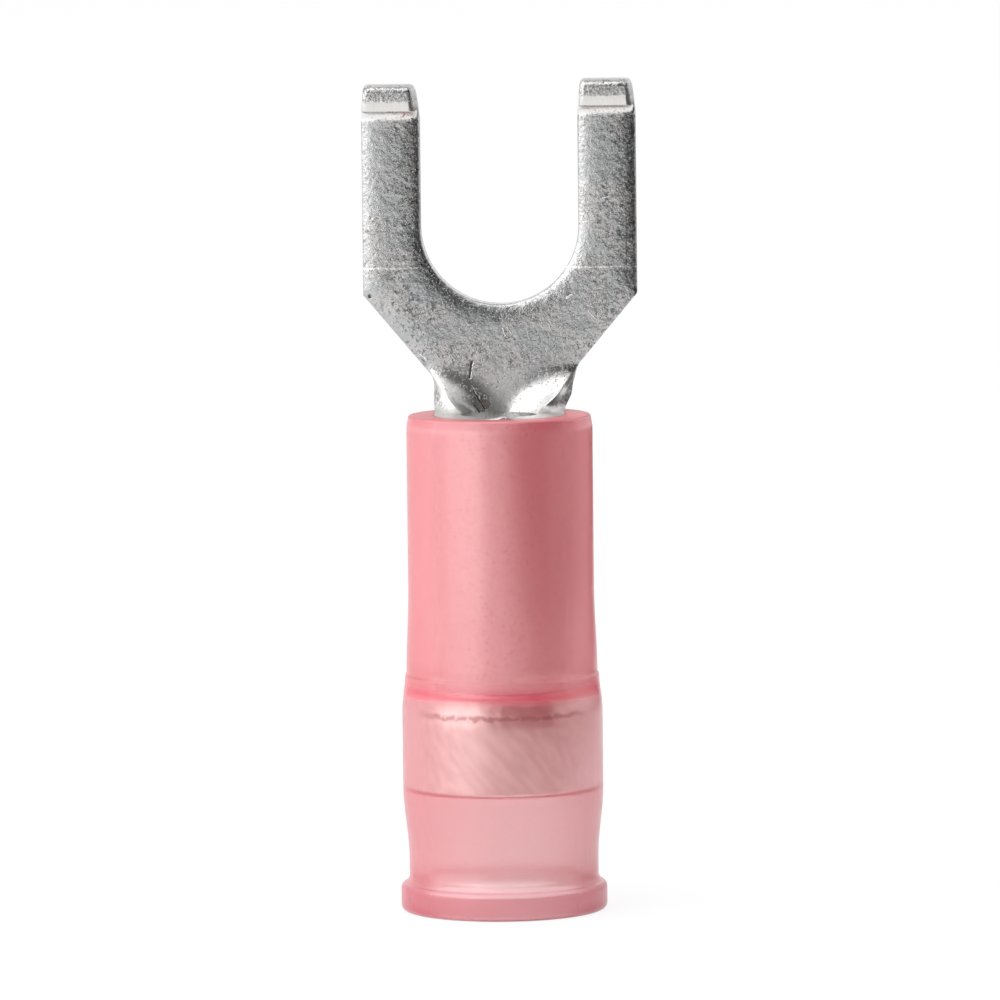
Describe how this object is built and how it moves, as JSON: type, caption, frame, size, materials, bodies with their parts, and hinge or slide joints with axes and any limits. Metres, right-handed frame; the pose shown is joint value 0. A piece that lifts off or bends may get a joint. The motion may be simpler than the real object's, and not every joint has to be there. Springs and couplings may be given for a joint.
{
  "type": "fork terminal",
  "caption": "Flanged fork terminal: a flat plated fork tongue with bent tips that rolls into a wire barrel, in a translucent red nylon sleeve with an inner metal grip sleeve.",
  "frame": {"origin": "centre of the sleeve's open end, on the barrel's axis, where the terminal stands", "axes": "+Z along the barrel from the wire entry to the fork tips, +X across the fork, -Y to the side that the seam and the bent tips face"},
  "size_m": [0.0064, 0.0048, 0.0193],
  "materials": {
    "tin_plate": "satin",
    "red_nylon": "satin",
    "grip_metal": "satin"
  },
  "bodies": {
    "root": {"fork_and_barrel": "tin_plate", "nylon_sleeve": "red_nylon", "grip_sleeve": "grip_metal"}
  },
  "joints": []
}
